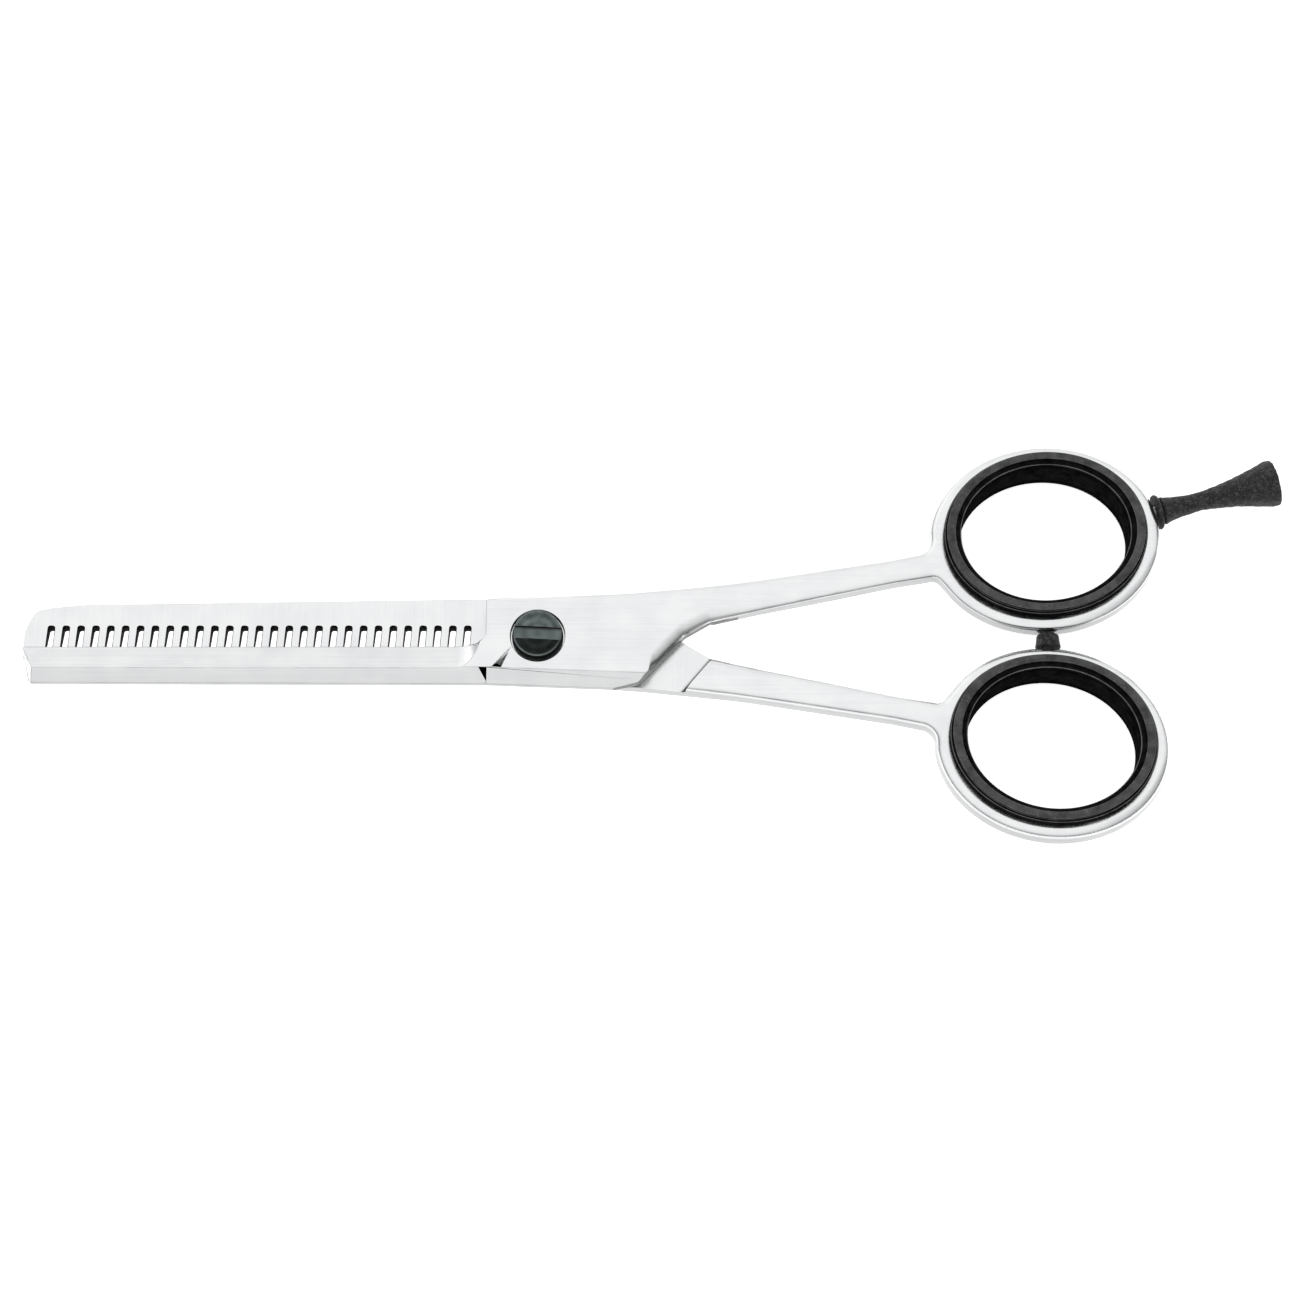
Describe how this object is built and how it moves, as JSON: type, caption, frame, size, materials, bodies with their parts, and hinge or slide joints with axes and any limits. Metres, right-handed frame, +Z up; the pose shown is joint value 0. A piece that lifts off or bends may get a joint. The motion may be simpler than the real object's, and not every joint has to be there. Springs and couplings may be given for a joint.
{
  "type": "thinning shears",
  "caption": "Hair thinning shears with a plain blade over a toothed blade, rubber-lined finger rings, a slotted tension screw, a bumper and a screw-in finger rest.",
  "frame": {"origin": "on the pivot axis, at the flat back face of the pivot nut, which rests on the surface the shears lie on", "axes": "+X along the closed shears, from the pivot to the finger rings; +Y to the ring with the finger rest; +Z up along the pivot axis, out of the slotted screw head"},
  "size_m": [0.1834, 0.0604, 0.0084],
  "materials": {
    "blade_steel": "satin polished stainless steel, faint lengthwise brushing",
    "screw_steel": "dark polished steel",
    "spring_steel": "blued spring steel",
    "nylon": "natural nylon",
    "nut_steel": "turned stainless steel",
    "ring_rubber": "dark grey moulded rubber",
    "bumper_rubber": "dark grey rubber, uneven surface",
    "rest_rubber": "black rubber with a fine rough grain",
    "stud_steel": "plain turned steel"
  },
  "bodies": {
    "comb_side": {"comb_half": "blade_steel", "comb_ring_insert": "ring_rubber", "bumper": "bumper_rubber", "pivot_nut": "nut_steel", "glide_washer": "nylon"},
    "plain_side": {"plain_half": "blade_steel", "plain_ring_insert": "ring_rubber", "tension_washer": "spring_steel"},
    "tension_screw": {"pivot_screw": "screw_steel"},
    "rest_seat": {"finger_rest_washer": "rest_rubber"},
    "rest": {"finger_rest": "rest_rubber", "finger_rest_stud": "stud_steel"}
  },
  "joints": [
    {"name": "blade_pivot", "type": "hinge", "parent": "comb_side", "child": "plain_side", "pos_m": [0, 0, 0.0042], "axis": [0, 0, 1], "range_deg": [0, 90]},
    {"name": "tension_turn", "type": "hinge", "parent": "comb_side", "child": "tension_screw", "pos_m": [0, 0, 0.0042], "axis": [0, 0, 1], "range_deg": [-90, 90]},
    {"name": "rest_travel", "type": "slide", "parent": "plain_side", "child": "rest_seat", "axis": [0.9659, 0.2588, 0], "range_m": [0, 0.002]},
    {"name": "rest_turn", "type": "hinge", "parent": "rest_seat", "child": "rest", "pos_m": [0.09006, 0.02011, 0.0042], "axis": [0.9659, 0.2588, 0], "range_deg": [0, 1800]}
  ],
  "couplings": [
    {"joint": "rest_turn", "follows": "rest_travel", "rad_per_m": 15708}
  ]
}
